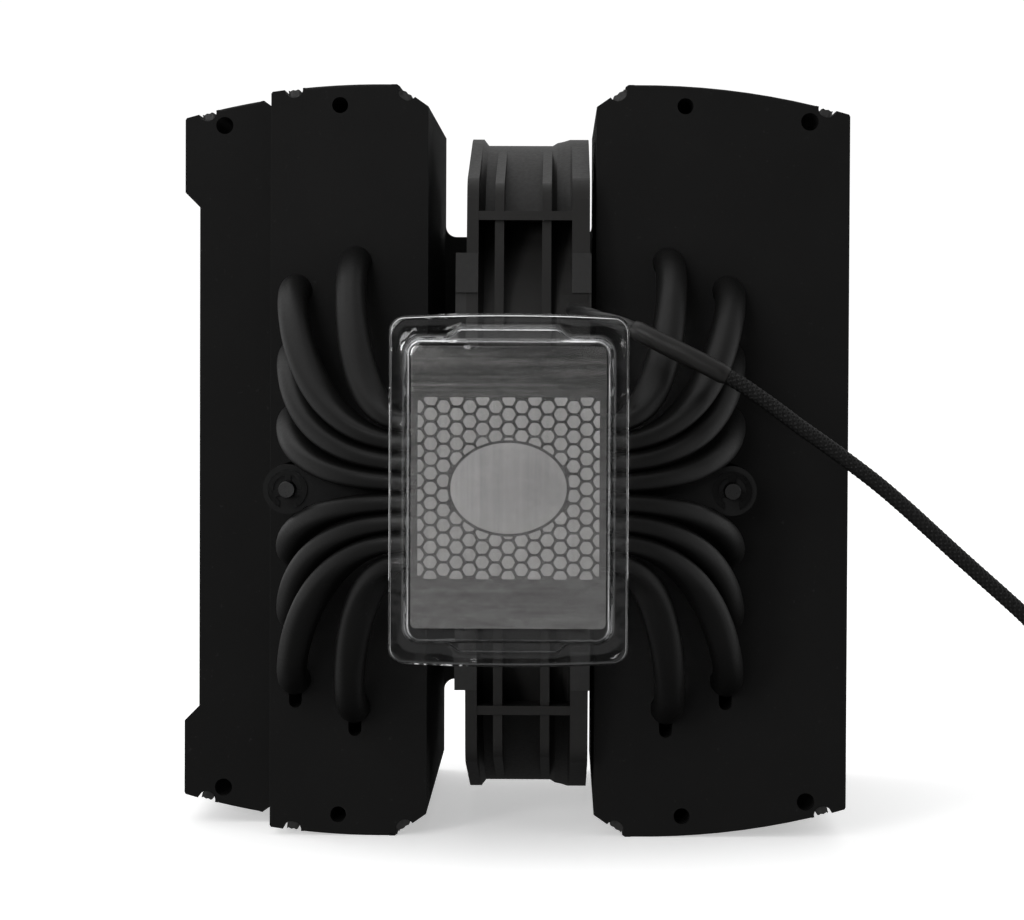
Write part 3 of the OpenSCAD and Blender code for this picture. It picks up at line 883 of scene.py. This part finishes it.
def add_paste():
    inwards, deep = PASTE_ROUNDING
    steps = ((0, PASTE_BACK), (0, PASTE_FRONT + deep), (inwards, PASTE_FRONT))
    points, faces = [], []
    for cell in paste_cells():
        middle = sum(cell, Vector((0, 0))) / len(cell)
        rings = []
        for inset, d in steps:
            ring = [p + (middle - p).normalized() * inset for p in cell]
            rings.append([(p.x, d, PASTE_H + p.y) for p in reversed(ring)])
        join(points, faces, loft(rings))
    paste = make("paste_print", points, faces, "paste", turn=30)
    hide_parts("thermal_paste")


add_paste()


# ------------------------------------------------------------------ clear cover

COVER_H = BASE_H + 0.5  # the cover's centre
SHEET_T = 0.4
# Outer face of the sheet, from the tray's front to the rim: half width, half
# height, depth, corner radius, bow of the ends and reach of the finger tabs
COVER_RINGS = [
    (18.2, 27.4, 0, 2.2, 0, 0),
    (18.75, 27.95, 0.06, 2.6, 0, 0),
    (19.15, 28.35, 0.35, 2.8, 0, 0),
    (19.35, 28.55, 0.9, 3.0, 0, 0),
    (19.5, 28.7, 1.3, 3.0, 0, 0.15),
    (19.55, 28.75, 1.55, 3.0, 0, 1.5),
    (19.65, 28.85, 1.8, 3.0, 0, 1.75),
    (19.8, 29.0, 2.8, 3.1, 0, 1.85),
    (20.0, 29.2, 3.15, 3.2, 0.05, 2.0),
    (20.4, 29.6, 3.32, 3.4, 0.1, 1.8),
    (21.3, 31.2, 3.36, 3.2, 0.4, 0.3),
    (21.8, 31.8, 3.25, 3.0, 0.5, 0),
    (22.3, 32.3, 3.15, 2.9, 0.6, 0),
    (22.65, 32.65, 3.35, 2.9, 0.65, 0),
    (22.75, 32.8, 3.8, 2.9, 0.65, 0),
    (22.78, 32.85, 4.3, 2.9, 0.65, 0),
    (22.85, 32.9, 5.2, 2.9, 0.65, 0),
    (22.9, 32.95, 8.3, 2.9, 0.65, 0),
]
SKIRT_ROWS = 2  # rows behind the rim, open where the pipes pass
PIPE_WINDOW = 18.2  # half height of that opening
TAB_HALF, TAB_SIDE = 11.6, 2.6  # a tab's half width, and its slanted side
DOME = 0.22  # how far the tray's front is pressed in
DOME_RINGS = (0.04, 0.2, 0.4, 0.6, 0.75, 0.87, 0.95)


def cover_ring(half_w, half_h, depth, r, bow, tab):
    """A ring of the cover: a rectangle with round corners, bowed ends and, in
    the middle of each end, a finger tab."""
    corners = []
    for q, (sx, sy) in enumerate(((1, 1), (-1, 1), (-1, -1), (1, -1))):
        middle = Vector((sx * (half_w - r), sy * (half_h - r)))
        arc = [math.pi / 2 * (q + k / 8) for k in range(9)]
        corners.append([middle + r * Vector((math.cos(a), math.sin(a))) for a in arc])
    ring = []
    for q, corner in enumerate(corners):
        end, start = corner[-1], corners[(q + 1) % 4][0]
        steps = 40 if q % 2 == 0 else 24
        ring += corner + [end.lerp(start, k / steps) for k in range(1, steps)]
    out = []
    for p in ring:
        end = ease(half_h - 1.5 * r, half_h, abs(p.y))
        raised = bow * (1 - (p.x / half_w) ** 2) * end
        if abs(p.y) > half_h - 0.01:
            raised += tab * ease(TAB_HALF, TAB_HALF - TAB_SIDE, abs(p.x))
        out.append((p.x, depth, COVER_H + p.y + math.copysign(raised, p.y)))
    return out


def add_clear_cover():
    rings = [cover_ring(*row) for row in COVER_RINGS]
    front = [
        [(x * k, DOME * (1 - k * k), COVER_H + (h - COVER_H) * k) for x, _, h in rings[0]]
        for k in DOME_RINGS
    ]
    rings = front + rings
    points, faces = loft(rings, closed=False)
    n = len(rings[0])
    skirt = (len(rings) - 1 - SKIRT_ROWS) * n
    faces = [
        face for face in faces
        if min(face) < skirt
        or max(abs(points[i][2] - COVER_H) for i in face) > PIPE_WINDOW
    ]
    faces.append(tuple(range(n - 1, -1, -1)))
    cover = make(
        "clear_cover_shell", points, [tuple(reversed(f)) for f in faces], "clear",
        body="clear_cover", turn=180,
    )
    thick = cover.modifiers.new("sheet", "SOLIDIFY")
    thick.thickness = SHEET_T * MM
    thick.offset = -1
    thick.use_even_offset = True
    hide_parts("protective_cover")


add_clear_cover()


# ------------------------------------------------------------------ screws

SPRING_R = 3.1
WIRE_R = 0.38
SPRING = (22.1, 30.5)  # depths of the spring's ends
SPRING_TURNS = 6.5
CLOSED = 0.12  # share of the wire in each closed end
CLOSED_RISE = 0.05  # share of the height that is wound evenly, ends and all
THREAD_R, THREAD_WIRE = 1.42, 0.17
THREAD_START, THREAD_PITCH, THREAD_TURNS = 15.4, 0.5, 6
TURN_STEPS = 24


def helix(x, r, turns, depth):
    """A line that winds round the screw at x; depth(t) says how deep it is."""
    steps = round(turns * TURN_STEPS)
    return [
        Vector((x + r * math.cos(a), depth(k / steps), BASE_H + r * math.sin(a)))
        for k in range(steps + 1)
        for a in [2 * math.pi * k / TURN_STEPS]
    ]


def spring_depth(t):
    """Depth at share t of the wire, whose ends are wound close."""
    open_share = min(1, max(0, (t - CLOSED) / (1 - 2 * CLOSED)))
    risen = CLOSED_RISE * t + (1 - CLOSED_RISE) * open_share
    return SPRING[0] + WIRE_R + (SPRING[1] - SPRING[0] - 2 * WIRE_R) * risen


def thread_depth(t):
    return THREAD_START + THREAD_PITCH * THREAD_TURNS * t


def add_screw(side, name):
    """The spring and the thread of one mounting screw."""
    x = side * SCREW_X
    line = helix(x, SPRING_R, SPRING_TURNS, spring_depth)
    wire = make(
        f"{name}_coil_spring", *tube(line, lambda s, a: WIRE_R, 10), "spring_steel",
        turn=60,
    )
    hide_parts(f"{name}_spring")
    at(x, SPRING[0], BASE_H)
    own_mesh(wire)

    ridge = helix(x, THREAD_R, THREAD_TURNS, thread_depth)
    make(
        f"{name}_screw_thread", *tube(ridge, lambda s, a: THREAD_WIRE, 6), "steel",
        body=f"{name}_screw", turn=60,
    )


add_screw(-1, "left")
add_screw(1, "right")


# ------------------------------------------------------------------ CAD pieces

CAD_FINISH = {
    "base_plate": "plated", "base_block": "block", "top_cover": "cover",
    "crossbar": "bar", "crossbar_screws": "steel",
    "left_mounting_screw": "steel", "right_mounting_screw": "steel",
    "left_washer": "steel", "right_washer": "steel",
    "left_e_clip": "clip_steel", "right_e_clip": "clip_steel",
    "fan_frame": "fan_plastic", "fan_pads": "pad_rubber",
    "fan_rotor": "rotor_plastic", "rotor_shaft": "steel",
    "rotor_yoke": "yoke_steel", "rotor_magnet": "magnet",
    "fan_bearing": "bearing_brass", "shaft_clip": "steel",
    "stator_core": "yoke_steel", "stator_coils": "copper_wire",
    "fan_circuit_board": "board", "hub_label": "label",
    "fan_connector": "plug_plastic",
}
# Width of the worn or moulded edge of the pieces that show, in millimetres
EDGES = {
    "base_plate": 0.25, "top_cover": 0.4, "crossbar": 0.35, "fan_frame": 0.35,
    "fan_pads": 0.3, "fan_connector": 0.3, "left_mounting_screw": 0.12,
    "right_mounting_screw": 0.12, "left_e_clip": 0.1, "right_e_clip": 0.1,
}


def finish_cad_nodes():
    for name, finish in CAD_FINISH.items():
        obj = nodes[name]
        obj.data.materials.clear()
        obj.data.materials.append(FINISHES[finish])
        if name in EDGES:
            bevel(obj, EDGES[name], angle=40, segments=2)


finish_cad_nodes()


# ------------------------------------------------------------------ stage


FLOOR_HALF = 6
FLOOR_GLOW = 0.46
SKY_SPREAD = 130  # degrees
OBJECT = (0, 0, 0.07)  # what the lights aim at, in metres
BACKGROUND = 1.05  # brightness that the camera sees


def add_light(name, place, size, energy, aim=OBJECT):
    """A square lamp; place, aim and size are in metres."""
    data = bpy.data.lights.new(name, "AREA")
    data.shape = "SQUARE"
    data.size = size
    data.energy = energy
    light = bpy.data.objects.new(name, data)
    scene.collection.objects.link(light)
    light.location = place
    away = Vector(aim) - Vector(place)
    light.rotation_euler = away.to_track_quat("-Z", "Y").to_euler()
    return light


def add_floor():
    """Paper that glows a little, so that it stays pale round the shadow."""
    mesh = bpy.data.meshes.new("floor")
    corners = [(x * FLOOR_HALF, y * FLOOR_HALF, 0)
               for x, y in ((-1, -1), (1, -1), (1, 1), (-1, 1))]
    mesh.from_pydata(corners, [], [(0, 1, 2, 3)])
    floor = bpy.data.objects.new("floor", mesh)
    scene.collection.objects.link(floor)
    paper = surface("floor_paper", grey(0.86), 0.6, tone=0.01, bump=0.02)
    inputs = paper.node_tree.nodes["Principled BSDF"].inputs
    inputs["Emission Color"].default_value = (1, 1, 1, 1)
    inputs["Emission Strength"].default_value = FLOOR_GLOW
    mesh.materials.append(paper)
    floor.visible_glossy = floor.visible_transmission = floor.visible_diffuse = False


def add_world():
    """A pale backdrop for the camera, and a dark studio with bright screens
    behind, above, at the sides and low in front for everything else."""
    world = bpy.data.worlds.new("studio")
    scene.world = world
    world.use_nodes = True
    tree = world.node_tree
    where = node(tree, "ShaderNodeTexCoord")
    way = node(tree, "ShaderNodeSeparateXYZ")
    tree.links.new(where.outputs["Generated"], way.inputs[0])
    x, y, z = way.outputs  # each from -1 to 1: right, away and up

    # A screen's strength rises from one place in the sky to another
    back = spread(tree, y, 0.03, 0.7, -0.25, 0.45)
    over_horizon = spread(tree, z, 1.0, 0.1, -0.01, -0.09)
    back = maths(tree, "MULTIPLY", back, over_horizon)
    above = spread(tree, z, 0.0, 0.32, 0.25, 0.8)
    aside = spread(tree, maths(tree, "ABSOLUTE", x), 0.0, 0.8, 0.5, 0.95)
    low = spread(tree, z, 0.0, 0.26, -0.01, -0.09)
    front = spread(tree, y, 1.0, 0.15, -0.3, 0.1)
    low = maths(tree, "MULTIPLY", low, front)
    most = back
    for screen in (above, aside, low):
        most = maths(tree, "MAXIMUM", most, screen)

    white = (1, 1, 1, 1)
    lit = node(tree, "ShaderNodeBackground", Color=white)
    tree.links.new(most, lit.inputs["Strength"])
    plain = node(tree, "ShaderNodeBackground", Color=white, Strength=BACKGROUND)
    path = node(tree, "ShaderNodeLightPath")
    either = node(tree, "ShaderNodeMixShader")
    tree.links.new(path.outputs["Is Camera Ray"], either.inputs["Fac"])
    tree.links.new(lit.outputs[0], either.inputs[1])
    tree.links.new(plain.outputs[0], either.inputs[2])
    tree.links.new(either.outputs[0], tree.nodes["World Output"].inputs["Surface"])


def add_lights():
    data = bpy.data.lights.new("sky", "SUN")
    data.energy, data.angle = 0.9, math.radians(SKY_SPREAD)
    sky = bpy.data.objects.new("sky", data)
    scene.collection.objects.link(sky)
    fill = add_light("fill", (-0.6, -1.3, 0.3), 0.3, 8)
    sky.visible_glossy = fill.visible_glossy = False
    add_light("top_light", (-0.4, 0.05, 1.1), 1.2, 3, aim=(0, 0, 0))
    add_light("front_light", (-0.5, -1.3, 0.9), 0.5, 3)
    add_light("window", (-0.2, -1.25, 0.25), 0.22, 0.5)


add_floor()
add_world()
add_lights()
scene.view_settings.view_transform = "Standard"
